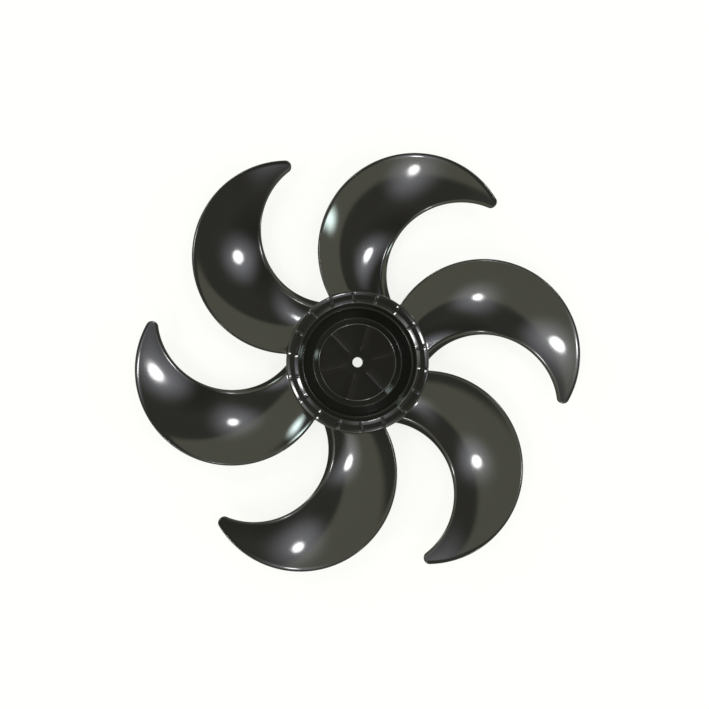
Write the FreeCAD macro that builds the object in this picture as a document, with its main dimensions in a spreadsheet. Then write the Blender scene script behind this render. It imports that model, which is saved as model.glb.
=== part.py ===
import FreeCAD, Part
import math
import os
import re
import Sketcher

# Driving dimensions: millimetres, degrees, counts and two ratios
SIZES = {
    "hub_radius": 56,
    "hub_height": 42,
    "skirt_wall": 2.5,
    "shell_wall": 2.2,
    "rim_width": 9.8,
    "bowl_taper": 2.2,
    "bowl_wall_drop": 13,
    "bowl_slope_run": 8,
    "bowl_slope_drop": 8.5,
    "floor_edge_run": 4,
    "floor_edge_drop": 6.5,
    "rim_outer_round": 1.9,
    "rim_inner_round": 1.4,
    "bowl_round": 2,
    "bore_diameter": 8.2,
    "boss_wall": 5,
    "boss_recess": 3,
    "pin_slot_width": 3.6,
    "pin_slot_depth": 4,
    "rib_count": 18,
    "rib_thickness": 1.4,
    "rib_reach": 3,
    "rib_recess": 6,
    "spoke_count": 6,
    "spoke_thickness": 1.8,
    "spoke_angle": 32.5,
    "blade_count": 6,
    "blade_thickness": 2,
    "concave_radius": 58.4,
    "convex_radius": 77.8,
    "arc_gap": 39.8,
    "arc_angle": 113.3,
    "root_depth": 5.8,
    "root_angle": 176,
    "root_drop": 10.3,
    "tip_drop": 12.8,
    "edge_bow": 7,
    "root_pitch": 20.5,
    "tip_pitch": 20,
    "root_camber": 0.105,
    "tip_camber": 0.005,
    "fold_radius": 5,
    "root_fold_width": 7,
    "tip_fold_width": 2.2,
    "root_fold_slope": 42,
    "tip_fold_slope": 30,
    "tip_radius": 4.5,
    "tip_overcut": 0.25,
    "tip_run": 1.2,
    "cut_margin": 6,
}

# Formulas shared by several features
SKIRT_INSIDE = "(hub_radius - skirt_wall)"
SKIRT_MIDDLE = "(hub_radius - skirt_wall / 2)"
MOUTH_RADIUS = "(hub_radius - rim_width)"
FOOT_RADIUS = f"({MOUTH_RADIUS} - bowl_taper)"
STEP_RADIUS = f"({FOOT_RADIUS} - bowl_slope_run)"
FLOOR_RADIUS = f"({STEP_RADIUS} - floor_edge_run)"
FOOT_HEIGHT = "(hub_height - bowl_wall_drop)"
STEP_HEIGHT = f"({FOOT_HEIGHT} - bowl_slope_drop)"
FLOOR_HEIGHT = f"({STEP_HEIGHT} - floor_edge_drop)"
BOSS_RADIUS = "(bore_diameter / 2 + boss_wall)"
BOSS_MIDDLE = "(bore_diameter / 2 + boss_wall / 2)"
CONCAVE_CENTRE = "(hub_radius - root_depth + concave_radius)"
BOWL_LINE = [
    (MOUTH_RADIUS, "hub_height"), (FOOT_RADIUS, FOOT_HEIGHT),
    (STEP_RADIUS, STEP_HEIGHT), (FLOOR_RADIUS, FLOOR_HEIGHT),
]
TIP_REACH = "(concave_radius + tip_radius)"
TIP_ROUND = "(tip_radius + tip_overcut)"
TIP_CLEAR = f"({TIP_ROUND} + cut_margin)"
TIP_TURN = (
    f"acos(({TIP_REACH}^2 + arc_gap^2 - (convex_radius - tip_radius)^2)"
    f" / (2 * {TIP_REACH} * arc_gap))"
)
TIP_ANGLE = f"(arc_angle - {TIP_TURN} / 1 deg)"
END_ANGLE = f"({TIP_ANGLE} - asin((tip_radius + tip_run) / {TIP_REACH}) / 1 deg)"
CONVEX_ACROSS = f"(arc_gap * cos({TIP_TURN}))"
CONVEX_UP = f"(arc_gap * sin({TIP_TURN}))"

# The blade is lofted through this many sections
SECTION_COUNT = 9
# Edges nearer than this to a stated place are the same edge
SAME_PLACE = 0.01
# The folded edge is widest up to the first share of the blade's length and runs out at the second
FOLD_START = 0.12
FOLD_END = 0.52

doc = FreeCAD.newDocument("fan_blade")
sheet = doc.addObject("Spreadsheet::Sheet", "sizes")
for row, (alias, size) in enumerate(SIZES.items(), 1):
    sheet.set(f"A{row}", alias)
    sheet.set(f"B{row}", str(size))
    sheet.setAlias(f"B{row}", alias)
doc.recompute()

body = doc.addObject("PartDesign::Body", "fan_blade")
body.Label = "fan_blade"
origin = {feature.Role: feature for feature in body.Origin.OriginFeatures}


def formula(text):
    """The text as an expression: each name with an underscore is a cell of the sheet."""
    return re.sub(r"\b[a-z]+(?:_[a-z]+)+\b", lambda found: "sizes." + found.group(0), text)


def number(text):
    """The present value of a formula."""
    result = sheet.evalExpression(formula(text))
    return getattr(result, "Value", result)


def polar(centre, radius, angle):
    """The point at a radius and an angle in radians round a centre."""
    return centre + FreeCAD.Vector(radius * math.cos(angle), radius * math.sin(angle), 0)


def new_sketch(name, plane):
    """An empty sketch on one of the body's own planes."""
    sketch = body.newObject("Sketcher::SketchObject", name)
    sketch.AttachmentSupport = [(origin[plane], "")]
    sketch.MapMode = "FlatFace"
    return sketch


def turn(sketch, axis, reach, angle):
    """Moves a sketch along X by a reach and turns it about one of its own axes."""
    sketch.AttachmentOffset = FreeCAD.Placement(
        FreeCAD.Vector(number(reach), 0, 0), FreeCAD.Rotation(axis, number(angle)))
    sketch.setExpression("AttachmentOffset.Base.x", formula(reach))
    sketch.setExpression("AttachmentOffset.Rotation.Angle", formula(f"({angle}) * 1 deg"))


def bind(sketch, constraint, name, text):
    """Adds a named constraint whose size follows a formula."""
    index = sketch.addConstraint(constraint)
    sketch.renameConstraint(index, name)
    sketch.setExpression("Constraints." + name, formula(text))


def place(sketch, element, point, name, across, up):
    """Holds a point of the sketch at two formulas; a formula of "0" holds it on the axis."""
    for kind, axis, text in (("DistanceX", -2, across), ("DistanceY", -1, up)):
        if text == "0":
            sketch.addConstraint(Sketcher.Constraint("PointOnObject", element, point, axis))
        else:
            held = Sketcher.Constraint(kind, -1, 1, element, point, number(text))
            bind(sketch, held, name + kind[-1].lower(), text)


def outline(sketch, corners):
    """A closed outline of straight lines; each corner is a pair of formulas."""
    points = [FreeCAD.Vector(number(across), number(up), 0) for across, up in corners]
    for start, end in zip(points, points[1:] + points[:1]):
        sketch.addGeometry(Part.LineSegment(start, end))
    for index, (across, up) in enumerate(corners):
        follower = (index + 1) % len(corners)
        sketch.addConstraint(Sketcher.Constraint("Coincident", index, 2, follower, 1))
    for index, (across, up) in enumerate(corners):
        place(sketch, index, 1, f"corner{index}", across, up)


def arc(centre, radius, start, end):
    """A counterclockwise arc between two angles in radians."""
    circle = Part.Circle(centre, FreeCAD.Vector(0, 0, 1), radius)
    return Part.ArcOfCircle(circle, start, end)


def moved(corners, step):
    """The corners moved outward and down by one formula."""
    return [(f"({across} + {step})", f"({up} - {step})") for across, up in corners]


def revolved(kind, name, corners):
    """A turned feature round the vertical axis, adding or cutting an outline."""
    sketch = new_sketch(name + "_profile", "XZ_Plane")
    outline(sketch, corners)
    feature = body.newObject("PartDesign::" + kind, name)
    feature.Profile = sketch
    feature.ReferenceAxis = (sketch, ["V_Axis"])
    feature.Angle = 360
    doc.recompute()
    return feature


def repeated(name, originals, count):
    """The originals repeated round the vertical axis."""
    pattern = body.newObject("PartDesign::PolarPattern", name)
    pattern.Originals = originals
    pattern.Axis = (origin["Z_Axis"], [""])
    pattern.Angle = 360
    pattern.setExpression("Occurrences", formula(count))
    body.Tip = pattern
    doc.recompute()
    return pattern


def rounded(name, rings, radius):
    """Rounds the circular edges that lie at the given radii and heights."""
    wanted = [(number(across), number(up)) for across, up in rings]
    shape = body.Tip.Shape
    names = []
    for index, edge in enumerate(shape.Edges, 1):
        if isinstance(edge.Curve, Part.Circle):
            found = (edge.Curve.Radius, edge.Curve.Center.z)
            if any(math.dist(found, ring) < SAME_PLACE for ring in wanted):
                names.append(f"Edge{index}")
    feature = body.newObject("PartDesign::Fillet", name)
    feature.Base = (feature.BaseFeature, names)
    feature.setExpression("Radius", formula(radius))
    doc.recompute()
    return feature


def plate_ring(name, corners, thickness, count):
    """Upright plates of one outline, set round the axis at the spokes' angle."""
    sketch = new_sketch(name + "_profile", "XZ_Plane")
    turn(sketch, FreeCAD.Vector(0, 1, 0), "0", "spoke_angle")
    outline(sketch, corners)
    plate = body.newObject("PartDesign::Pad", name)
    plate.Profile = sketch
    plate.Midplane = True
    plate.setExpression("Length", formula(thickness))
    doc.recompute()
    return repeated(name + "_ring", [plate], count)


def blade_section(index):
    """One section of the blade, in an upright plane through the axis of the concave edge.

    Its skin is a hollow arc from the crest to the convex edge, a tight fold and a straight
    strip down to the concave edge. Straight lines close the wall at both edges.
    """
    share = index / (SECTION_COUNT - 1)
    fade = min(1, max(0, (FOLD_END - share) / (FOLD_END - FOLD_START)))
    bow = 4 * share * (1 - share)
    angle = f"(root_angle + ({END_ANGLE} - root_angle) * {share})"
    swing = f"(({angle} - arc_angle) * 1 deg)"
    edge_across = f"(arc_gap * cos({swing}) + sqrt(convex_radius^2 - (arc_gap * sin({swing}))^2))"
    edge_up = f"(hub_height - root_drop + (root_drop - tip_drop) * {share} + edge_bow * {bow})"
    pitch = f"((root_pitch + (tip_pitch - root_pitch) * {share}) * 1 deg)"
    camber = f"(root_camber + (tip_camber - root_camber) * {share})"
    fold_width = f"(tip_fold_width + (root_fold_width - tip_fold_width) * {fade})"
    fold_slope = f"(tip_fold_slope + (root_fold_slope - tip_fold_slope) * {fade})"
    crest_across = f"(concave_radius + {fold_width})"
    crest_up = f"({edge_up} - ({edge_across} - {crest_across}) * tan({pitch}))"
    chord = f"(({edge_across} - {crest_across}) / cos({pitch}))"
    skin_radius = f"({chord} * (1 + 4 * {camber}^2) / (8 * {camber}))"

    # First positions of the lines and arcs, which the constraints then hold
    wall = number("blade_thickness")
    edge = FreeCAD.Vector(number(edge_across), number(edge_up), 0)
    crest = FreeCAD.Vector(number(crest_across), number(crest_up), 0)
    big = number(skin_radius)
    small = number("fold_radius")
    slope = math.radians(number(fold_slope))
    half_span = (edge - crest) / 2
    above = FreeCAD.Vector(-half_span.y, half_span.x, 0).normalize()
    skin_centre = crest + half_span + above * math.sqrt(big ** 2 - half_span.Length ** 2)
    edge_turn = math.atan2(edge.y - skin_centre.y, edge.x - skin_centre.x)
    under_turn = -math.acos((edge.x - skin_centre.x) / (big + wall))
    crest_turn = math.atan2(crest.y - skin_centre.y, crest.x - skin_centre.x)
    fold_start = crest_turn + math.pi
    fold_turn = math.pi / 2 + slope
    fold_centre = polar(skin_centre, big + small, crest_turn)
    fold_top = polar(fold_centre, small, fold_turn)
    fold_bottom = polar(fold_centre, small - wall, fold_turn)
    strip = (fold_top.x - number("concave_radius")) / math.cos(slope)
    fall = FreeCAD.Vector(-math.cos(slope), -math.sin(slope), 0) * strip

    sketch = new_sketch(f"blade_section_{index}", "XZ_Plane")
    turn(sketch, FreeCAD.Vector(0, 1, 0), CONCAVE_CENTRE, angle)
    skin, fold, drop, low_edge, drop_under, fold_under, skin_under, high_edge = range(8)
    sketch.addGeometry(arc(skin_centre, big, crest_turn, edge_turn))
    sketch.addGeometry(arc(fold_centre, small, fold_start, fold_turn))
    sketch.addGeometry(Part.LineSegment(fold_top, fold_top + fall))
    sketch.addGeometry(Part.LineSegment(fold_top + fall, fold_bottom + fall))
    sketch.addGeometry(Part.LineSegment(fold_bottom + fall, fold_bottom))
    sketch.addGeometry(arc(fold_centre, small - wall, fold_start, fold_turn))
    sketch.addGeometry(arc(skin_centre, big + wall, crest_turn, under_turn))
    sketch.addGeometry(Part.LineSegment(polar(skin_centre, big + wall, under_turn), edge))
    smooth_joins = [
        (skin, 1, fold, 1), (fold, 2, drop, 1),
        (drop_under, 2, fold_under, 2), (fold_under, 1, skin_under, 1)]
    for join in smooth_joins:
        sketch.addConstraint(Sketcher.Constraint("Tangent", *join))
    joins = [
        (drop, 2, low_edge, 1), (low_edge, 2, drop_under, 1), (skin_under, 2, high_edge, 1),
        (high_edge, 2, skin, 2), (skin, 3, skin_under, 3), (fold, 3, fold_under, 3)]
    for join in joins:
        sketch.addConstraint(Sketcher.Constraint("Coincident", *join))
    sketch.addConstraint(Sketcher.Constraint("Parallel", drop, drop_under))
    sketch.addConstraint(Sketcher.Constraint("Perpendicular", drop, low_edge))
    sketch.addConstraint(Sketcher.Constraint("Vertical", high_edge))
    place(sketch, skin, 2, "edge", edge_across, edge_up)
    place(sketch, skin, 1, "crest", crest_across, crest_up)
    bind(sketch, Sketcher.Constraint("Radius", skin, big), "skin_radius", skin_radius)
    bind(sketch, Sketcher.Constraint("Radius", skin_under, big + wall), "under_radius",
         f"{skin_radius} + blade_thickness")
    bind(sketch, Sketcher.Constraint("Radius", fold, small), "fold_radius", "fold_radius")
    bind(sketch, Sketcher.Constraint("DistanceX", -1, 1, low_edge, 1, number("concave_radius")), "end_across",
         "concave_radius")
    bind(sketch, Sketcher.Constraint("Angle", -1, 1, drop, 2, slope), "fold_slope", f"{fold_slope} * 1 deg")
    return sketch


# Hub blank, turned round the bore's axis
revolved("Revolution", "hub_blank", [
    ("0", "0"), ("hub_radius", "0"), ("hub_radius", "hub_height"), ("0", "hub_height")])

# One blade, lofted along the arc of its concave edge from inside the hub to the tip
sections = [blade_section(index) for index in range(SECTION_COUNT)]
doc.recompute()
blade = body.newObject("PartDesign::AdditiveLoft", "blade")
blade.Profile = sections[0]
blade.Sections = sections[1:]
doc.recompute()

# The tip is rounded by cutting away a ring sector outside its circle
tip_sketch = new_sketch("tip_profile", "XY_Plane")
turn(tip_sketch, FreeCAD.Vector(0, 0, 1), CONCAVE_CENTRE, TIP_ANGLE)
near_arc, far_arc, near_line, far_line, convex_centre = range(5)
tip_centre = FreeCAD.Vector(number(TIP_REACH), 0, 0)
bearing = FreeCAD.Vector(number(CONVEX_ACROSS), number(CONVEX_UP), 0)
tip_end = math.atan2(-bearing.y, tip_centre.x - bearing.x) + 2 * math.pi
for radius in (TIP_ROUND, TIP_CLEAR):
    tip_sketch.addGeometry(arc(tip_centre, number(radius), math.pi, tip_end))
for angle in (math.pi, tip_end):
    inside = polar(tip_centre, number(TIP_ROUND), angle)
    outside = polar(tip_centre, number(TIP_CLEAR), angle)
    tip_sketch.addGeometry(Part.LineSegment(inside, outside))
tip_sketch.addGeometry(Part.Point(bearing), True)
for point, line in ((1, near_line), (2, far_line)):
    tip_sketch.addConstraint(Sketcher.Constraint("Coincident", near_arc, point, line, 1))
    tip_sketch.addConstraint(Sketcher.Constraint("Coincident", far_arc, point, line, 2))
tip_sketch.addConstraint(Sketcher.Constraint("Coincident", near_arc, 3, far_arc, 3))
place(tip_sketch, near_arc, 3, "centre", TIP_REACH, "0")
place(tip_sketch, convex_centre, 1, "bearing", CONVEX_ACROSS, CONVEX_UP)
bind(tip_sketch, Sketcher.Constraint("Radius", near_arc, number(TIP_ROUND)), "round", TIP_ROUND)
bind(tip_sketch, Sketcher.Constraint("Radius", far_arc, number(TIP_CLEAR)), "clear", TIP_CLEAR)
for point in (1, 2):
    tip_sketch.addConstraint(Sketcher.Constraint("PointOnObject", near_line, point, -1))
tip_sketch.addConstraint(Sketcher.Constraint("PointOnObject", near_arc, 3, far_line))
tip_sketch.addConstraint(Sketcher.Constraint("PointOnObject", convex_centre, 1, far_line))
tip = body.newObject("PartDesign::Pocket", "tip")
tip.Profile = tip_sketch
tip.Reversed = True
tip.setExpression("Length", formula("hub_height"))
doc.recompute()
repeated("blades", [blade, tip], "blade_count")

# The bowl on the open side
revolved("Groove", "bowl", [
    ("0", "hub_height + cut_margin"), (MOUTH_RADIUS, "hub_height + cut_margin"),
    *BOWL_LINE, ("0", FLOOR_HEIGHT)])

# The space under the bowl, between the skirt and the boss
revolved("Groove", "underside", [
    (SKIRT_INSIDE, "0"), (SKIRT_INSIDE, "hub_height - shell_wall"),
    *moved(BOWL_LINE, "shell_wall"),
    (BOSS_RADIUS, f"{FLOOR_HEIGHT} - shell_wall"), (BOSS_RADIUS, "boss_recess"),
    ("0", "boss_recess"), ("0", "0")])

# Ribs between skirt and bowl, and longer spokes that reach the boss
RIB_LINE = moved(BOWL_LINE, "shell_wall / 2")
RIB_INSIDE = f"({FOOT_RADIUS} + shell_wall / 2 - rib_reach)"
RIB_TOP = f"({FOOT_HEIGHT} - shell_wall / 2 - rib_reach * bowl_slope_drop / bowl_slope_run)"
SKIRT_CORNERS = [(SKIRT_MIDDLE, "rib_recess"), (SKIRT_MIDDLE, "hub_height - shell_wall / 2")]
plate_ring("rib", [
    (RIB_INSIDE, "rib_recess"), *SKIRT_CORNERS, *RIB_LINE[:2], (RIB_INSIDE, RIB_TOP)],
    "rib_thickness", "rib_count")
plate_ring("spoke", [
    (BOSS_MIDDLE, "rib_recess"), *SKIRT_CORNERS, *RIB_LINE,
    (BOSS_MIDDLE, f"{FLOOR_HEIGHT} - shell_wall / 2")],
    "spoke_thickness", "spoke_count")

# Shaft bore and the slot for the shaft's cross pin
bore = body.newObject("PartDesign::SubtractiveCylinder", "bore")
bore.setExpression("Radius", formula("bore_diameter / 2"))
bore.setExpression("Height", formula("hub_height"))
doc.recompute()
slot = body.newObject("PartDesign::SubtractiveBox", "pin_slot")
slot.setExpression("Length", formula(f"2 * {BOSS_RADIUS}"))
slot.setExpression("Width", formula("pin_slot_width"))
slot.setExpression("Height", formula("pin_slot_depth"))
slot.setExpression("AttachmentOffset.Base.x", formula(f"-{BOSS_RADIUS}"))
slot.setExpression("AttachmentOffset.Base.y", formula("-pin_slot_width / 2"))
slot.setExpression("AttachmentOffset.Base.z", formula("boss_recess"))
doc.recompute()

# Rounded rim and bowl
rounded("rim_outside", [("hub_radius", "hub_height")], "rim_outer_round")
rounded("rim_inside", [BOWL_LINE[0]], "rim_inner_round")
rounded("bowl_creases", BOWL_LINE[1:], "bowl_round")

for item in doc.Objects:
    if {"Invalid", "Error"} & set(item.State):
        raise RuntimeError(f"{item.Name} did not rebuild: {item.State}")
if body.Shape.isNull() or not body.Shape.isValid() or len(body.Shape.Solids) != 1:
    raise RuntimeError("the fan blade is not one sound solid")

os.makedirs("parts", exist_ok=True)
body.Shape.exportStep(f"parts/{body.Label}.step")
print(body.Label, round(body.Shape.Volume / 1000, 2), "cm3", body.Shape.BoundBox)
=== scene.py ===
# %% [markdown]
# # A gloss black fan blade, seen straight from above
#
# The construction model is one moulded piece: a hub like a cup and six sickle-shaped blades.
# A mirror-smooth skin shows every facet of a coarse mesh, so this lesson draws the same form
# again with fine numpy surfaces, gives it a moulded finish and lights it like a table-top photo.

# %% Load the frame
import bpy
import numpy as np
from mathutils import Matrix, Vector


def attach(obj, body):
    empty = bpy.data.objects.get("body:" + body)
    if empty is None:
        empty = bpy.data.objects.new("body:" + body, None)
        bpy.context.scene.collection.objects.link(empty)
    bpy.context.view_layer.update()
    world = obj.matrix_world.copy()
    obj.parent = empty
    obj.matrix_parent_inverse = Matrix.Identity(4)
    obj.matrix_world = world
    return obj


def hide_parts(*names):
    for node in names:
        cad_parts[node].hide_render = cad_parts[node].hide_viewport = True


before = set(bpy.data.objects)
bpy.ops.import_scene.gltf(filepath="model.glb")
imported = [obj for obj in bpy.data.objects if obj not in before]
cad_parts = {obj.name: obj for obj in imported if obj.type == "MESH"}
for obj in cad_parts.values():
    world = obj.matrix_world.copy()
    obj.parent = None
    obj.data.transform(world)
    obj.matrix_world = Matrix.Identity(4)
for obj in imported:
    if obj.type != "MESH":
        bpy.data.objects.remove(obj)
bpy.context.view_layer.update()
MM = 0.001

# %% [markdown]
# ## Helpers for grids of points
#
# Every surface below is a grid: rows of points that run one way and columns that run the other.
# One function writes the four-cornered faces of such a grid, another turns the points and
# faces into an object. A closed mesh has a positive volume when its faces point outwards, so
# the sign of the volume tells whether the faces have to be turned round.


# %% Grid helpers
def grid_faces(rows, columns, wrap_rows=False, wrap_columns=False):
    """Quads between neighbours of a grid that is numbered row by row."""
    row = np.arange(rows if wrap_rows else rows - 1)
    column = np.arange(columns if wrap_columns else columns - 1)
    row, column = np.meshgrid(row, column, indexing="ij")
    next_row = (row + 1) % rows
    next_column = (column + 1) % columns
    corners = [row * columns + column, next_row * columns + column,
               next_row * columns + next_column, row * columns + next_column]
    return np.stack(corners, axis=-1).reshape(-1, 4)


def volume(points, quads):
    """Signed volume inside closed quads: the sum of the tetrahedra to the origin."""
    total = 0.0
    for picks in ((0, 1, 2), (0, 2, 3)):
        a, b, c = (points[quads[:, pick]] for pick in picks)
        total += np.einsum("ij,ij->", a, np.cross(b, c)) / 6
    return total


def add_piece(name, points, quads, caps=(), smooth=True):
    """An object from points in millimetres, with its faces outwards, in place of the solid."""
    faces = quads.tolist() + [cap.tolist() for cap in caps]
    if volume(points, quads) < 0:
        faces = [face[::-1] for face in faces]
    mesh = bpy.data.meshes.new(name)
    mesh.from_pydata((points * MM).tolist(), [], faces)
    mesh.polygons.foreach_set("use_smooth", np.full(len(mesh.polygons), smooth))
    piece = bpy.data.objects.new(name, mesh)
    bpy.context.scene.collection.objects.link(piece)
    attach(piece, "root")
    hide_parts("fan_blade")
    return piece


def turned(points, degrees):
    """The points turned about the upright axis."""
    angle = np.radians(degrees)
    cosine, sine = np.cos(angle), np.sin(angle)
    x, y, z = points[..., 0], points[..., 1], points[..., 2]
    return np.stack([x * cosine - y * sine, x * sine + y * cosine, z], axis=-1)


print("faces of a grid of 3 rows and 4 columns:", len(grid_faces(3, 4)))

# %% [markdown]
# ## The sizes that the blade and the hub share
#
# All lengths are millimetres and all angles degrees. They repeat the driving sizes of the
# construction model, so both shapes agree. Only the convex radius is a tenth of a millimetre smaller:
# that keeps the finer blade inside the construction box. A blade lies between two circles in
# plan: a concave one, whose centre is on the X axis, and a larger convex one beside it.

# %% Shared sizes
HUB_RADIUS = 56.0
HUB_HEIGHT = 42.0
BLADE_COUNT = 6
WALL = 2.0
CONCAVE_RADIUS = 58.4
CONVEX_RADIUS = 77.7
ROOT_DEPTH = 5.8
ARC_GAP = 39.8
ARC_ANGLE = 113.3
TIP_RADIUS = 4.5
TIP_RUN = 1.2
ROOT_ANGLE = 176.0

concave_centre = np.array([HUB_RADIUS - ROOT_DEPTH + CONCAVE_RADIUS, 0.0])
gap_turn = np.radians(ARC_ANGLE)
convex_centre = concave_centre + ARC_GAP * np.array([np.cos(gap_turn), np.sin(gap_turn)])
tip_reach = CONCAVE_RADIUS + TIP_RADIUS
cosine = (tip_reach ** 2 + ARC_GAP ** 2 - (CONVEX_RADIUS - TIP_RADIUS) ** 2) / (2 * tip_reach * ARC_GAP)
tip_angle = ARC_ANGLE - np.degrees(np.arccos(cosine))
end_angle = tip_angle - np.degrees(np.arcsin((TIP_RADIUS + TIP_RUN) / tip_reach))
outward = np.array([np.cos(np.radians(tip_angle)), np.sin(np.radians(tip_angle))])
onward = np.array([outward[1], -outward[0]])
tip_centre = concave_centre + tip_reach * outward
print("the tip's circle sits", round(float(np.hypot(*tip_centre)), 1), "mm from the axis")

# %% [markdown]
# ## The height of the blade's wall
#
# A fan blade works because it is pitched: its convex edge rides high and its concave edge low.
# Its front pushes the air, so it is dished: across the blade the wall is a hollow arc, then a tight
# fold over a crest, then a short straight strip. All three are simple curves whose sizes change
# slowly along the blade, so the height over any point of the plan is one formula that numpy works
# out for a whole grid at once. A narrow lip turns down along the convex edge.

# %% Blade height
ROOT_DROP, TIP_DROP = 10.3, 12.8
EDGE_BOW = 7.0
ROOT_PITCH, TIP_PITCH = 20.5, 20.0
ROOT_CAMBER, TIP_CAMBER = 0.105, 0.005
FOLD_RADIUS = 5.0
ROOT_FOLD_WIDTH, TIP_FOLD_WIDTH = 7.0, 2.2
ROOT_FOLD_SLOPE, TIP_FOLD_SLOPE = 42.0, 30.0
FOLD_START, FOLD_END = 0.12, 0.52
FADE_SOFTNESS = 0.15
LIP_WIDTH, LIP_DROP = 3.0, 0.45


def soft_clamp(value):
    """Follows the value between 0 and 1 and bends gently into both limits."""
    low = np.sqrt(value ** 2 + FADE_SOFTNESS ** 2)
    high = np.sqrt((value - 1) ** 2 + FADE_SOFTNESS ** 2)
    return 0.5 * (low - high + 1)


def convex_reach(angle):
    """Distance from the concave circle's centre to the convex circle at an angle in degrees."""
    swing = np.radians(angle - ARC_ANGLE)
    return ARC_GAP * np.cos(swing) + np.sqrt(CONVEX_RADIUS ** 2 - (ARC_GAP * np.sin(swing)) ** 2)


def polar_place(x, y):
    """Angle in degrees and distance of plan points from the concave circle's centre."""
    angle = np.degrees(np.arctan2(y - concave_centre[1], x - concave_centre[0])) % 360
    return angle, np.hypot(x - concave_centre[0], y - concave_centre[1])


def wall_height(x, y):
    """Height of the middle of the wall over plan points.

    The section at each angle is a hollow arc from the convex edge to the crest, a fold arc that
    is tangent to it there, and a straight strip that is tangent to the fold. An arc that is as deep
    as a share k of its chord c has the radius c (1 + 4 k k) / (8 k). Along the blade, at a share s
    from the root, the convex edge bows up by the parabola 4 s (1 - s), which is 1 half way.
    """
    angle, across = polar_place(x, y)
    share = (angle - ROOT_ANGLE) / (end_angle - ROOT_ANGLE)
    fade = soft_clamp((FOLD_END - share) / (FOLD_END - FOLD_START))
    pitch = np.radians(ROOT_PITCH + (TIP_PITCH - ROOT_PITCH) * share)
    slope = np.radians(TIP_FOLD_SLOPE + (ROOT_FOLD_SLOPE - TIP_FOLD_SLOPE) * fade)
    edge_across = convex_reach(angle)
    edge_up = HUB_HEIGHT - ROOT_DROP + (ROOT_DROP - TIP_DROP) * share + EDGE_BOW * 4 * share * (1 - share)
    camber = ROOT_CAMBER + (TIP_CAMBER - ROOT_CAMBER) * share
    crest_across = CONCAVE_RADIUS + TIP_FOLD_WIDTH + (ROOT_FOLD_WIDTH - TIP_FOLD_WIDTH) * fade
    crest_up = edge_up - (edge_across - crest_across) * np.tan(pitch)

    chord = (edge_across - crest_across) / np.cos(pitch)
    radius = chord * (1 + 4 * camber ** 2) / (8 * camber)
    depth = np.sqrt(radius ** 2 - (chord / 2) ** 2)
    skin_across = (edge_across + crest_across) / 2 - np.sin(pitch) * depth
    skin_up = (edge_up + crest_up) / 2 + np.cos(pitch) * depth
    crest_turn = np.arctan2(crest_up - skin_up, crest_across - skin_across)
    fold_across = skin_across + (radius + FOLD_RADIUS) * np.cos(crest_turn)
    fold_up = skin_up + (radius + FOLD_RADIUS) * np.sin(crest_turn)

    skin_middle = radius + WALL / 2
    fold_middle = FOLD_RADIUS - WALL / 2
    crest_line = fold_across - fold_middle * np.cos(crest_turn)
    strip_line = fold_across - fold_middle * np.sin(slope)
    skin = skin_up - np.sqrt(np.maximum(skin_middle ** 2 - (across - skin_across) ** 2, 0))
    fold = fold_up + np.sqrt(np.maximum(fold_middle ** 2 - (across - fold_across) ** 2, 0))
    strip = fold_up + fold_middle * np.cos(slope) - (strip_line - across) * np.tan(slope)
    height = np.where(across >= crest_line, skin, np.where(across >= strip_line, fold, strip))
    from_edge = CONVEX_RADIUS - np.hypot(x - convex_centre[0], y - convex_centre[1])
    return height - LIP_DROP * np.clip(1 - from_edge / LIP_WIDTH, 0, 1) ** 2


def wall_normal(x, y, step=0.05):
    """Upward unit normals of the middle of the wall, from central differences."""
    along_x = (wall_height(x + step, y) - wall_height(x - step, y)) / (2 * step)
    along_y = (wall_height(x, y + step) - wall_height(x, y - step)) / (2 * step)
    normal = np.stack([-along_x, -along_y, np.ones_like(along_x)], axis=-1)
    return normal / np.linalg.norm(normal, axis=-1, keepdims=True)


print("height of the wall at the tip's circle:", round(float(wall_height(*tip_centre)), 1), "mm")

# %% [markdown]
# ## Rows and columns over the blade's plan
#
# Columns cross the blade from the concave to the convex edge. They crowd together near both
# edges, where the wall rounds off within a millimetre. Rows run from the root to the tip: the
# first follow the round hub, so that a small fillet can blend the two, the next are straight
# spokes of the concave circle, and the last close in on the round tip.

# %% Columns across the blade
EDGE_STEPS = np.array([0, 0.03, 0.12, 0.28, 0.5, 0.75, 1.05, 1.5, 2.1, 2.8, 3.6])
FOLD_STEPS = np.linspace(4.2, 12.0, 14)
MIDDLE_COLUMNS = 24
NARROW_WIDTH = 20.0

near = np.concatenate([EDGE_STEPS, FOLD_STEPS])
middle = np.linspace(0, 1, MIDDLE_COLUMNS + 2)[1:-1]
far = EDGE_STEPS[::-1]
column_offset = np.concatenate([near, near[-1] * (1 - middle) - far[0] * middle, -far])
column_share = np.concatenate([np.zeros_like(near), middle, np.ones_like(far)])


def column_places(width):
    """Distances from the concave edge: fixed steps at both edges and even ones between them."""
    return column_offset * np.minimum(1, width / NARROW_WIDTH) + column_share * width


print("columns across the blade:", len(column_share))

# %% Rows from the root to the tip's circle
FILLET = 1.6
FILLET_ROWS = 8
MAIN_ROWS = 90
SUNK_INTO_HUB = 1.2
OUTSIDE_ANGLE = 120.0
HALVINGS = 40


def fillet_flare(gap):
    """How far a round fillet stands out from the wall at a gap from the hub's skirt."""
    gap = np.clip(gap, 0, FILLET)
    return FILLET - np.sqrt(FILLET ** 2 - (FILLET - gap) ** 2)


def spoke_plan(angle, flare):
    """Plan points at angles round the concave centre, on a blade widened by the flare."""
    inner = CONCAVE_RADIUS - flare
    across = inner + column_places(convex_reach(angle) + flare - inner)
    turn = np.radians(angle)
    return concave_centre[0] + across * np.cos(turn), concave_centre[1] + across * np.sin(turn)


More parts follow.
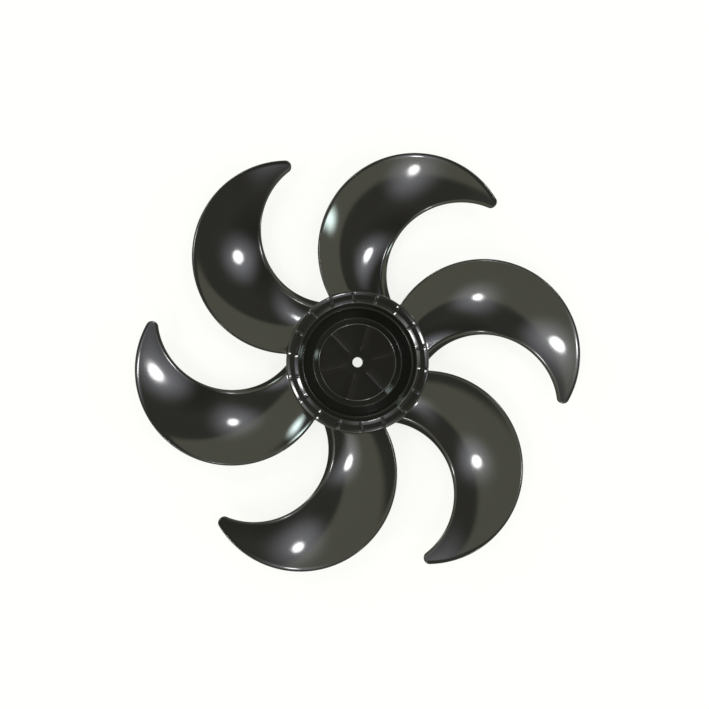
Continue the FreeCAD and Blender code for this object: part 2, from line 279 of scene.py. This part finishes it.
def root_angles(gap, flare):
    """Angles at which each column stands at a gap from the skirt, by halving an interval."""
    low = np.full((len(gap), len(column_share)), OUTSIDE_ANGLE)
    high = np.full_like(low, ROOT_ANGLE)
    for _ in range(HALVINGS):
        guess = (low + high) / 2
        outside = np.hypot(*spoke_plan(guess, flare)) > HUB_RADIUS + gap
        low = np.where(outside, guess, low)
        high = np.where(outside, high, guess)
    return (low + high) / 2


quarter = np.linspace(0, np.pi / 2, FILLET_ROWS)
root_gap = np.concatenate([[-SUNK_INTO_HUB], FILLET * (1 - np.cos(quarter))])[:, None]
root_flare = fillet_flare(root_gap)
root_angle = root_angles(root_gap, root_flare)
along = np.linspace(0, 1, MAIN_ROWS + 1)[1:, None]
main_angle = root_angle[-1] + (tip_angle - root_angle[-1]) * along
spoke_angle = np.concatenate([root_angle, main_angle])
flare = np.concatenate([root_flare, np.zeros_like(along)])
spoke_x, spoke_y = spoke_plan(spoke_angle, flare)
print("rows from the root to the tip's circle:", len(spoke_angle))

# %% Rows round the tip
TIP_ROWS = 16
local_centre = np.array([(convex_centre - tip_centre) @ outward, (convex_centre - tip_centre) @ onward])
touch = -local_centre / np.hypot(*local_centre) * TIP_RADIUS
forward = TIP_RADIUS * np.sin(np.linspace(0, np.pi / 2, TIP_ROWS + 2)[1:-1])[:, None]
half_width = np.sqrt(TIP_RADIUS ** 2 - forward ** 2)
convex_side = local_centre[0] + np.sqrt(CONVEX_RADIUS ** 2 - (forward - local_centre[1]) ** 2)
right_side = np.where(forward < touch[1], convex_side, half_width)
sideways = -half_width + column_places(half_width + right_side)
tip_x = tip_centre[0] + sideways * outward[0] + forward * onward[0]
tip_y = tip_centre[1] + sideways * outward[1] + forward * onward[1]

plan_x = np.concatenate([spoke_x, tip_x])
plan_y = np.concatenate([spoke_y, tip_y])
flare = np.concatenate([flare, np.zeros((TIP_ROWS, 1))])
print("plan grid of one blade:", plan_x.shape)

# %% [markdown]
# ## Thickness, rounded edges and the six blades
#
# Half the wall stands on each side of its middle. Close to the outline the half thickness
# follows a quarter circle down to nothing, which gives the edge its full round. Near the hub
# the fillet's flare is added instead. Top and underside then share their edge points and form
# one closed ring of points per row.


# %% Blades
def edge_distance(x, y, flare):
    """Distance of plan points from the outline: concave circle, convex circle or tip circle."""
    concave = np.hypot(x - concave_centre[0], y - concave_centre[1]) - (CONCAVE_RADIUS - flare)
    convex = CONVEX_RADIUS + flare - np.hypot(x - convex_centre[0], y - convex_centre[1])
    side = (x - tip_centre[0]) * outward[0] + (y - tip_centre[1]) * outward[1]
    ahead = (x - tip_centre[0]) * onward[0] + (y - tip_centre[1]) * onward[1]
    in_tip = (ahead > 0) & (np.arctan2(ahead, side) > np.arctan2(touch[1], touch[0]))
    return np.where(in_tip, TIP_RADIUS - np.hypot(side, ahead), np.minimum(concave, convex))


normal = wall_normal(plan_x, plan_y)
centre = np.stack([plan_x, plan_y, wall_height(plan_x, plan_y)], axis=-1)
inset = np.clip(edge_distance(plan_x, plan_y, flare) / normal[..., 2], 0, WALL / 2)
edge_round = np.sqrt(1 - (1 - inset / (WALL / 2)) ** 2)
half_wall = (edge_round * (WALL / 2 + flare))[..., None]
top = centre + normal * half_wall
under = centre - normal * half_wall
ring = np.concatenate([top, under[:, -2:0:-1]], axis=1)
blade_quads = grid_faces(*ring.shape[:2], wrap_columns=True)
first_cap = np.arange(ring.shape[1])
last_cap = np.arange(ring.shape[1] * (ring.shape[0] - 1), ring.shape[1] * ring.shape[0])[::-1]
pieces = []
for number in range(BLADE_COUNT):
    points = turned(ring.reshape(-1, 3), 360 / BLADE_COUNT * number)
    pieces.append(add_piece(f"blade_{number + 1}", points, blade_quads, (first_cap, last_cap)))
print("points of one blade:", ring.shape[0] * ring.shape[1])

# %% [markdown]
# ## The hub: one outline turned round the axis
#
# The hub is a thin shell, so its outline is a closed loop: up the skirt, over the rim, down into
# the bowl, across the floor to the bore and back along the underside. The rim falls off a little to
# both sides and catches the lamps there, and two narrow ledges draw faint rings in the bowl. Each
# corner is replaced by an arc that touches both of its lines. The loop then turns round the axis.

# %% Hub outline
SKIRT_WALL = 2.5
SHELL_WALL = 2.2
RIM_WIDTH = 9.8
BORE_RADIUS = 4.1
FLOOR_HEIGHT = 14.0
RIM_BEVEL, OUTER_FALL, INNER_FALL = 3.2, 0.48, 0.8
RIM_INSIDE = HUB_RADIUS - RIM_WIDTH
BOWL_LINE = np.array([[RIM_INSIDE, HUB_HEIGHT - INNER_FALL], [44.2, 29.1], [43.4, 29.0],
                      [36.2, 20.6], [35.4, 20.5], [32.0, FLOOR_HEIGHT]])
UNDER_LINE = BOWL_LINE + np.array([SHELL_WALL, -SHELL_WALL])
SKIRT_INSIDE = HUB_RADIUS - SKIRT_WALL
UNDER_FLOOR = FLOOR_HEIGHT - SHELL_WALL
RIM_OUTER_ROUND, RIM_INNER_ROUND, BOWL_ROUND, SMALL_ROUND, LEDGE_ROUND = 1.4, 1.0, 2.0, 0.5, 0.2
ARC_POINTS = 7
LONGEST_STEP = 1.6


def rounded_loop(corners, radii):
    """A closed loop of straight lines whose corners are replaced by touching arcs."""
    loop = []
    previous, following = np.roll(corners, 1, axis=0), np.roll(corners, -1, axis=0)
    for before, corner, after, radius in zip(previous, corners, following, radii):
        back = (before - corner) / np.hypot(*(before - corner))
        ahead = (after - corner) / np.hypot(*(after - corner))
        half = np.arccos(np.clip(back @ ahead, -1, 1)) / 2
        middle = (back + ahead) / np.hypot(*(back + ahead))
        arc_centre = corner + middle * radius / np.sin(half)
        start = corner + back * radius / np.tan(half) - arc_centre
        end = corner + ahead * radius / np.tan(half) - arc_centre
        sweep = np.linspace(0, 1, ARC_POINTS)[:, None]
        turn = np.pi - 2 * half
        arc = (start * np.sin((1 - sweep) * turn) + end * np.sin(sweep * turn)) / np.sin(turn)
        loop.append(arc_centre + arc)
    return np.concatenate(loop)


def evened(loop):
    """The loop with extra points where two neighbours are further apart than the longest step."""
    following = np.roll(loop, -1, axis=0)
    counts = np.maximum(1, np.ceil(np.hypot(*(following - loop).T) / LONGEST_STEP)).astype(int)
    index = np.repeat(np.arange(len(loop)), counts)
    step = (np.arange(counts.sum()) - np.repeat(np.cumsum(counts) - counts, counts)) / counts[index]
    return loop[index] + (following - loop)[index] * step[:, None]


hub_corners = np.concatenate([
    [[HUB_RADIUS, 0], [HUB_RADIUS, HUB_HEIGHT - OUTER_FALL], [HUB_RADIUS - RIM_BEVEL, HUB_HEIGHT]],
    [[RIM_INSIDE + RIM_BEVEL, HUB_HEIGHT]], BOWL_LINE,
    [[BORE_RADIUS, FLOOR_HEIGHT], [BORE_RADIUS, UNDER_FLOOR]],
    UNDER_LINE[::-1], [[SKIRT_INSIDE, HUB_HEIGHT - SHELL_WALL], [SKIRT_INSIDE, 0]]])
ledge_rounds = [LEDGE_ROUND] * (len(BOWL_LINE) - 2)
rim_rounds = [RIM_OUTER_ROUND, BOWL_ROUND, BOWL_ROUND, RIM_INNER_ROUND]
hub_rounds = [SMALL_ROUND, *rim_rounds, *ledge_rounds, BOWL_ROUND, SMALL_ROUND, SMALL_ROUND, BOWL_ROUND,
              *ledge_rounds, SMALL_ROUND, SMALL_ROUND, SMALL_ROUND]
hub_loop = evened(rounded_loop(hub_corners, hub_rounds))
print("points round the hub's outline:", len(hub_loop))

# %% [markdown]
# ## Sink marks
#
# Plastic shrinks as it cools. Where a rib joins the back of a wall there is more of it, and the
# face in front sinks a little. On a gloss part that is enough to bend the reflections: the rim
# falls into sections, one between each pair of ribs, and the floor of the bowl shows the spokes
# behind it. Real sink marks are mostly shallower than the few tenths of a millimetre drawn here,
# which show at the size of this picture. A bell curve across each rib gives the dip. On the floor
# a narrow bell draws the line over the spoke and a wide one the soft hollow beside it.

# %% Hub shell with sink marks
RIB_COUNT = 18
SPOKE_COUNT = 6
SPOKE_ANGLE = 32.5
COLUMNS_PER_RIB = 20
CROWDING = 1.5
RIM_SINK, RIM_SINK_WIDTH = 0.2, 0.9
FLOOR_SINKS = ((0.25, 0.7), (0.45, 3.5))

share = np.arange(COLUMNS_PER_RIB) / COLUMNS_PER_RIB - 0.5
offset = np.sign(share) * np.abs(2 * share) ** CROWDING * 180 / RIB_COUNT
hub_angle = (SPOKE_ANGLE + np.arange(RIB_COUNT)[:, None] * 360 / RIB_COUNT + offset).ravel()


def bell(degrees, radius, count, width):
    """A bell curve across each of several even spokes, by distance from the spoke's middle."""
    period = 360 / count
    away = (degrees - SPOKE_ANGLE + period / 2) % period - period / 2
    return np.exp(-(np.radians(away) * radius / width) ** 2)


radius, height = hub_loop[:, :1], hub_loop[:, 1:]
on_rim = np.clip((height - (HUB_HEIGHT - RIM_OUTER_ROUND)) / RIM_OUTER_ROUND, 0, 1)
above_middle = np.clip((height - UNDER_FLOOR - SHELL_WALL / 2) / SHELL_WALL, 0, 1)
off_bore = np.clip((radius - 2 * BORE_RADIUS) / BORE_RADIUS, 0, 1)
on_floor = above_middle * off_bore * (height < FLOOR_HEIGHT + SHELL_WALL) * (radius < BOWL_LINE[-1, 0])
sink = RIM_SINK * on_rim * bell(hub_angle, radius, RIB_COUNT, RIM_SINK_WIDTH)
for depth, width in FLOOR_SINKS:
    sink = sink + depth * on_floor * bell(hub_angle, radius, SPOKE_COUNT, width)
turn = np.radians(hub_angle)
hub_points = np.stack([radius * np.cos(turn), radius * np.sin(turn), height - sink], axis=-1)
hub_quads = grid_faces(*hub_points.shape[:2], wrap_rows=True, wrap_columns=True)
pieces.append(add_piece("hub_shell", hub_points.reshape(-1, 3), hub_quads))
print("quads of the hub shell:", len(hub_quads))

# %% [markdown]
# ## Behind the hub: ribs, spokes and the boss
#
# The back of such a hub is never plain. Eighteen thin ribs tie the skirt to the bowl, six of them
# run on as spokes to the boss in the middle, and the boss has a slot for the pin that drives it.
# A rib is a slice whose top follows the shell: its section grows and shrinks along the radius.

# %% Ribs and spokes
RIB_WALL, SPOKE_WALL = 1.4, 1.8
RIB_BOTTOM = 6.0
RIB_INSIDE = 42.1
BOSS_RADIUS = 9.1
RIB_ROUND = 0.4
RIBS_PER_SPOKE = RIB_COUNT // SPOKE_COUNT
shell_line = np.concatenate([UNDER_LINE[::-1], [[SKIRT_INSIDE, HUB_HEIGHT - SHELL_WALL]]])


def rib_points(inside, wall):
    """Sections of a plate at growing radii: a rounded lower edge and a top inside the shell."""
    outside = HUB_RADIUS - SKIRT_WALL / 2
    stops = shell_line[(shell_line[:, 0] > inside) & (shell_line[:, 0] < outside), 0]
    reach = np.concatenate([[inside], stops, [outside]])[:, None]
    roof = np.interp(reach, shell_line[:, 0], shell_line[:, 1]) + SHELL_WALL / 2
    side = np.array([-wall / 2, -wall / 2, -wall / 2 + RIB_ROUND, wall / 2 - RIB_ROUND, wall / 2, wall / 2])
    lift = np.array([0, RIB_ROUND, 0, 0, RIB_ROUND, 0])
    is_roof = np.array([1, 0, 0, 0, 0, 1])
    up = np.where(is_roof, roof, RIB_BOTTOM + lift)
    return np.stack([reach + 0 * up, side + 0 * up, up], axis=-1)


for number in range(RIB_COUNT):
    is_spoke = number % RIBS_PER_SPOKE == 0
    inside, wall = (BOSS_RADIUS - SHELL_WALL, SPOKE_WALL) if is_spoke else (RIB_INSIDE, RIB_WALL)
    plate = rib_points(inside, wall)
    rows, columns = plate.shape[:2]
    caps = (np.arange(columns), np.arange(columns * (rows - 1), columns * rows)[::-1])
    name = f"spoke_{number // RIBS_PER_SPOKE + 1}" if is_spoke else f"rib_{number + 1}"
    points = turned(plate.reshape(-1, 3), SPOKE_ANGLE + 360 / RIB_COUNT * number)
    pieces.append(add_piece(name, points, grid_faces(rows, columns, wrap_columns=True), caps, smooth=False))
print("ribs and spokes:", RIB_COUNT)

# %% [markdown]
# The boss is a thick tube with a straight slot across its end. Its columns are not evenly turned:
# some lie inside the slot and end higher up, the others lie on the lands, and at the slot's walls
# two columns share one angle that depends on the radius, so the walls come out straight.

# %% Boss with the pin slot
BOSS_END = 3.0
SLOT_WIDTH, SLOT_DEPTH = 3.6, 4.0
BOSS_EDGE = 0.3
SLOT_COLUMNS, LAND_COLUMNS = 5, 25
in_slot = np.linspace(-1, 1, SLOT_COLUMNS)
on_land = np.linspace(0, 1, LAND_COLUMNS)
is_slot = np.concatenate([np.ones_like(in_slot), np.zeros_like(on_land)] * 2)
end_height = BOSS_END + SLOT_DEPTH * is_slot
boss_radius = np.array([BORE_RADIUS + BOSS_EDGE, BORE_RADIUS, BORE_RADIUS, BORE_RADIUS + BOSS_EDGE,
                        BOSS_RADIUS - BOSS_EDGE, BOSS_RADIUS, BOSS_RADIUS])[:, None]
boss_top = UNDER_FLOOR + SHELL_WALL / 2
from_end = np.array([0, 0, BOSS_EDGE, 0, 0, BOSS_EDGE, 0])[:, None]
fixed_top = np.array([boss_top, UNDER_FLOOR, 0, 0, 0, 0, boss_top])[:, None]
boss_height = np.where(fixed_top > 0, fixed_top, end_height + from_end)
half_slot = np.arcsin(SLOT_WIDTH / 2 / boss_radius)
slot_turn = np.arcsin(SLOT_WIDTH / 2 * in_slot / boss_radius)
land_turn = half_slot + (np.pi - 2 * half_slot) * on_land
boss_turn = np.concatenate([slot_turn, land_turn, slot_turn + np.pi, land_turn + np.pi], axis=1)
boss_x, boss_y = boss_radius * np.cos(boss_turn), boss_radius * np.sin(boss_turn)
boss_points = np.stack([boss_x, boss_y, np.broadcast_to(boss_height, boss_x.shape)], axis=-1)
boss_quads = grid_faces(*boss_points.shape[:2], wrap_rows=True, wrap_columns=True)
pieces.append(add_piece("boss", boss_points.reshape(-1, 3), boss_quads, smooth=False))
print("quads of the boss:", len(boss_quads))

# %% [markdown]
# ## Helpers for materials
#
# Colours are written as the codes that a paint program shows. Blender's nodes want linear light, so
# one function converts them. Another adds a node and fills or links its inputs in one line.


# %% Node helpers
def linear(code):
    """An sRGB colour code such as #102030 as linear red, green, blue and an alpha of one."""
    channels = np.array([int(code[start:start + 2], 16) for start in (1, 3, 5)]) / 255
    curve = np.where(channels <= 0.04045, channels / 12.92, ((channels + 0.055) / 1.055) ** 2.4)
    return (*curve.tolist(), 1.0)


def add_node(tree, kind, settings=None, **inputs):
    """A node with its settings; each input takes a constant or another node's output."""
    node = tree.nodes.new(kind)
    for name, value in (settings or {}).items():
        setattr(node, name, value)
    for name, value in inputs.items():
        socket = node.inputs[name.replace("_", " ")]
        if isinstance(value, bpy.types.NodeSocket):
            tree.links.new(value, socket)
        else:
            socket.default_value = value
    return node


def new_material(name):
    """An empty node material."""
    material = bpy.data.materials.new(name)
    material.use_nodes = True
    material.node_tree.nodes.clear()
    return material, material.node_tree


print("mid grey in linear light:", round(linear("#808080")[0], 3))

# %% [markdown]
# ## Gloss black moulded plastic
#
# Blades like this are injection moulded from ABS, SAN or polypropylene, whose index of refraction
# lies between 1.49 and 1.57. The plastic itself is almost black, so nearly all that the eye sees is
# reflected light. The mould was polished: roughness is low, with faint cloudy smears from handling.
# Two bumps bend the reflections, a slow one from the flow of the melt and a fine one left by the
# tool's polish. A noise texture repeats about once per unit, so a scale of 1 / 40 mm gives waves
# about 40 mm long. Real polish marks are far finer than the 0.8 mm here, which is as coarse as they
# need to be to show.

# %% Moulded plastic
FLOW_WAVE, FLOW_HEIGHT = 40 * MM, 0.03 * MM
POLISH_GRAIN, POLISH_HEIGHT = 0.8 * MM, 0.0004 * MM
SMEAR_SIZE = 25 * MM
SMEAR_START, SMEAR_FULL = 0.35, 0.7
CLEAN_ROUGHNESS, SMEARED_ROUGHNESS = 0.06, 0.11
CLEAN_BLACK, SMEARED_BLACK = "#10100f", "#161614"
PLASTIC_IOR = 1.5
plastic, tree = new_material("gloss_black_injection_moulded_plastic")
place = add_node(tree, "ShaderNodeTexCoord").outputs["Object"]
flow = add_node(tree, "ShaderNodeTexNoise", Vector=place, Scale=1 / FLOW_WAVE, Detail=1.0)
grain = add_node(tree, "ShaderNodeTexNoise", Vector=place, Scale=1 / POLISH_GRAIN, Detail=2.0)
smear = add_node(tree, "ShaderNodeTexNoise", Vector=place, Scale=1 / SMEAR_SIZE, Detail=5.0, Roughness=0.6)
gloss = add_node(tree, "ShaderNodeMapRange", Value=smear.outputs["Fac"], From_Min=SMEAR_START,
                 From_Max=SMEAR_FULL, To_Min=CLEAN_ROUGHNESS, To_Max=SMEARED_ROUGHNESS)
tint = add_node(tree, "ShaderNodeValToRGB", Fac=smear.outputs["Fac"])
tint.color_ramp.elements[0].color = linear(CLEAN_BLACK)
tint.color_ramp.elements[1].color = linear(SMEARED_BLACK)
slow_bump = add_node(tree, "ShaderNodeBump", Height=flow.outputs["Fac"], Distance=FLOW_HEIGHT, Strength=1.0)
fine_bump = add_node(tree, "ShaderNodeBump", Height=grain.outputs["Fac"], Distance=POLISH_HEIGHT,
                     Strength=1.0, Normal=slow_bump.outputs["Normal"])
skin = add_node(tree, "ShaderNodeBsdfPrincipled", Base_Color=tint.outputs["Color"], IOR=PLASTIC_IOR,
                Roughness=gloss.outputs["Result"], Normal=fine_bump.outputs["Normal"])
add_node(tree, "ShaderNodeOutputMaterial", Surface=skin.outputs["BSDF"])
for piece in pieces:
    piece.data.materials.append(plastic)
print("pieces with the plastic:", len(pieces))

# %% [markdown]
# ## A white table
#
# The part lies on a white sheet of paper with a faint mottle. The paper takes the part's soft
# shadow. To come out white as in a product picture it mostly glows, but only where the camera sees
# it, directly, mirrored or through glass: a Light Path node tells those rays apart, so the glow
# lights nothing else.

# %% Floor
FLOOR_SIZE = 3.0
PAPER_FIBRE = 3 * MM
PAPER_GLOW = 0.85
PAPER_SHADES = "#fafaf7", "#fdfdfb"
floor_mesh = bpy.data.meshes.new("paper_floor")
half = FLOOR_SIZE / 2
corners = [(-half, -half, 0), (half, -half, 0), (half, half, 0), (-half, half, 0)]
floor_mesh.from_pydata(corners, [], [(0, 1, 2, 3)])
floor = bpy.data.objects.new("paper_floor", floor_mesh)
bpy.context.scene.collection.objects.link(floor)
paper, tree = new_material("matt_white_paper")
place = add_node(tree, "ShaderNodeTexCoord").outputs["Object"]
fibre = add_node(tree, "ShaderNodeTexNoise", Vector=place, Scale=1 / PAPER_FIBRE, Detail=3.0)
shade = add_node(tree, "ShaderNodeValToRGB", Fac=fibre.outputs["Fac"])
shade.color_ramp.elements[0].color = linear(PAPER_SHADES[0])
shade.color_ramp.elements[1].color = linear(PAPER_SHADES[1])
sheet = add_node(tree, "ShaderNodeBsdfDiffuse", Color=shade.outputs["Color"])
white = add_node(tree, "ShaderNodeEmission", Color=shade.outputs["Color"], Strength=1.0)
ray = add_node(tree, "ShaderNodeLightPath").outputs
mirrored = add_node(tree, "ShaderNodeMath", {"operation": "MAXIMUM"})
tree.links.new(ray["Is Glossy Ray"], mirrored.inputs[0])
tree.links.new(ray["Is Transmission Ray"], mirrored.inputs[1])
seen = add_node(tree, "ShaderNodeMath", {"operation": "MAXIMUM"})
tree.links.new(ray["Is Camera Ray"], seen.inputs[0])
tree.links.new(mirrored.outputs[0], seen.inputs[1])
glow = add_node(tree, "ShaderNodeMath", {"operation": "MULTIPLY"})
tree.links.new(seen.outputs[0], glow.inputs[0])
glow.inputs[1].default_value = PAPER_GLOW
blend = add_node(tree, "ShaderNodeMixShader", Fac=glow.outputs[0])
tree.links.new(sheet.outputs["BSDF"], blend.inputs[1])
tree.links.new(white.outputs["Emission"], blend.inputs[2])
add_node(tree, "ShaderNodeOutputMaterial", Surface=blend.outputs["Shader"])
floor_mesh.materials.append(paper)
print("floor of", FLOOR_SIZE, "m")

# %% [markdown]
# ## Light: pale walls, a darker ceiling and four lamps
#
# Gloss black shows the room rather than its own colour. Pale olive walls give the broad sheen on
# the steep parts of the blades, and a darker ceiling, a little off the axis, leaves the flatter
# parts nearly black. The room is a row of colours over the cosine of the angle between a direction
# and the middle of the ceiling.

# %% Room
CAMERA_TURN = 40.87
ROOM = [(0.0, "#77776f"), (0.3, "#8c8c82"), (0.42, "#f2f3d8"), (0.795, "#f6f7dc"),
        (0.82, "#84817a"), (0.93, "#8a877e"), (0.98, "#625f58")]
ROOM_STRENGTH = 1.5
CEILING_BEARING, CEILING_ELEVATION = 20, 77


def toward(bearing, elevation):
    """The direction at a bearing in the picture, anticlockwise from its right, and an elevation."""
    turn, lift = np.radians(bearing - CAMERA_TURN), np.radians(elevation)
    return Vector((np.cos(turn) * np.cos(lift), np.sin(turn) * np.cos(lift), np.sin(lift)))


def closeness(tree, direction, bearing, elevation):
    """Cosine of the angle between the view direction and a fixed direction."""
    product = add_node(tree, "ShaderNodeVectorMath", {"operation": "DOT_PRODUCT"})
    tree.links.new(direction, product.inputs[0])
    product.inputs[1].default_value = toward(bearing, elevation)
    return product.outputs["Value"]


world = bpy.data.worlds.new("pale_room_with_darker_ceiling")
bpy.context.scene.world = world
world.use_nodes = True
tree = world.node_tree
tree.nodes.clear()
direction = add_node(tree, "ShaderNodeTexCoord").outputs["Generated"]
height = closeness(tree, direction, CEILING_BEARING, CEILING_ELEVATION)
room = add_node(tree, "ShaderNodeValToRGB", Fac=height)
ramp = room.color_ramp.elements
ramp[0].position, ramp[1].position = ROOM[0][0], ROOM[-1][0]
ramp[0].color, ramp[1].color = linear(ROOM[0][1]), linear(ROOM[-1][1])
for position, code in ROOM[1:-1]:
    ramp.new(position).color = linear(code)
light = add_node(tree, "ShaderNodeBackground", Color=room.outputs["Color"], Strength=ROOM_STRENGTH)
surface = light.outputs["Background"]
print("colours of the room:", len(ROOM))

# %% [markdown]
# Four soft lamps make the crisp white spots. Each has a glow on the ceiling round it, and two more
# glows, low and slightly green, stand for windows. A glow grows from nothing at its edge to full
# strength in its middle: the share of the way, taken in cosines, is raised to a power.

# %% Glows of the lamps and windows
# A lamp has a bearing and an elevation in degrees, a diameter in metres and a power in watts.
LAMPS = {"right": (19, 66, 0.4, 13), "left": (205, 65, 0.4, 13),
         "near": (-73, 57, 0.32, 8), "far": (105, 61, 0.32, 8)}
# A glow has a spread in degrees and a strength, and a window's a bearing and an elevation before them.
LAMP_GLOWS = {"right": (16, 4.0), "left": (16, 4.0), "near": (17, 3.5), "far": (17, 3.5)}
WINDOWS = {"left": (140, 27, 9, 30.0), "right": (349, 31, 9, 30.0)}
GLOW_TINT, WINDOW_TINT = "#eef0fb", "#e0f4f0"
GLOW_PEAK = 3.0
glows = [(*LAMPS[name][:2], *LAMP_GLOWS[name], GLOW_TINT) for name in LAMPS]
glows += [(*window, WINDOW_TINT) for window in WINDOWS.values()]
for bearing, elevation, spread, strength, tint in glows:
    inside = add_node(tree, "ShaderNodeMapRange", Value=closeness(tree, direction, bearing, elevation),
                      From_Min=np.cos(np.radians(spread)), From_Max=1.0)
    peak = add_node(tree, "ShaderNodeMath", {"operation": "POWER"})
    tree.links.new(inside.outputs["Result"], peak.inputs[0])
    peak.inputs[1].default_value = GLOW_PEAK
    level = add_node(tree, "ShaderNodeMath", {"operation": "MULTIPLY"})
    tree.links.new(peak.outputs["Value"], level.inputs[0])
    level.inputs[1].default_value = strength
    glow = add_node(tree, "ShaderNodeBackground", Color=linear(tint), Strength=level.outputs["Value"])
    both = add_node(tree, "ShaderNodeAddShader")
    tree.links.new(surface, both.inputs[0])
    tree.links.new(glow.outputs["Background"], both.inputs[1])
    surface = both.outputs["Shader"]
add_node(tree, "ShaderNodeOutputWorld", Surface=surface)
print("glows in the room:", len(glows))

# %% Lamps
LAMP_REACH = 4.0
for name, (bearing, elevation, size, power) in LAMPS.items():
    lamp_data = bpy.data.lights.new(f"{name}_lamp", "AREA")
    lamp_data.shape = "DISK"
    lamp_data.size = size
    lamp_data.energy = power
    lamp = bpy.data.objects.new(f"{name}_lamp", lamp_data)
    bpy.context.scene.collection.objects.link(lamp)
    heading = toward(bearing, elevation)
    lamp.location = heading * LAMP_REACH
    lamp.rotation_euler = heading.to_track_quat("Z", "Y").to_euler()
print("lamps:", ", ".join(LAMPS))

# %% [markdown]
# ## Camera
#
# The photograph looks straight down the shaft's axis. The camera's height and focal length are
# estimates that were fitted to the picture together with the heights of the hub and the blades. The
# small shift puts the bore where it is in the picture.

# %% Camera
IMAGE_SIZE = 709
FOCAL_PIXELS = 703
CAMERA_HEIGHT = 592 * MM
HUB_PIXEL = (357.5, 362.3)
SENSOR_WIDTH = 36
camera_data = bpy.data.cameras.new("camera")
camera_data.sensor_width = SENSOR_WIDTH
camera_data.lens = FOCAL_PIXELS / IMAGE_SIZE * SENSOR_WIDTH
camera_data.shift_x = (IMAGE_SIZE / 2 - HUB_PIXEL[0]) / IMAGE_SIZE
camera_data.shift_y = (HUB_PIXEL[1] - IMAGE_SIZE / 2) / IMAGE_SIZE
camera = bpy.data.objects.new("camera", camera_data)
camera.location = (0, 0, CAMERA_HEIGHT)
camera.rotation_euler = (0, 0, np.radians(-CAMERA_TURN))
bpy.context.scene.collection.objects.link(camera)
bpy.context.scene.camera = camera
bpy.context.scene.view_settings.view_transform = "Standard"
print("focal length in mm:", round(camera_data.lens, 1))
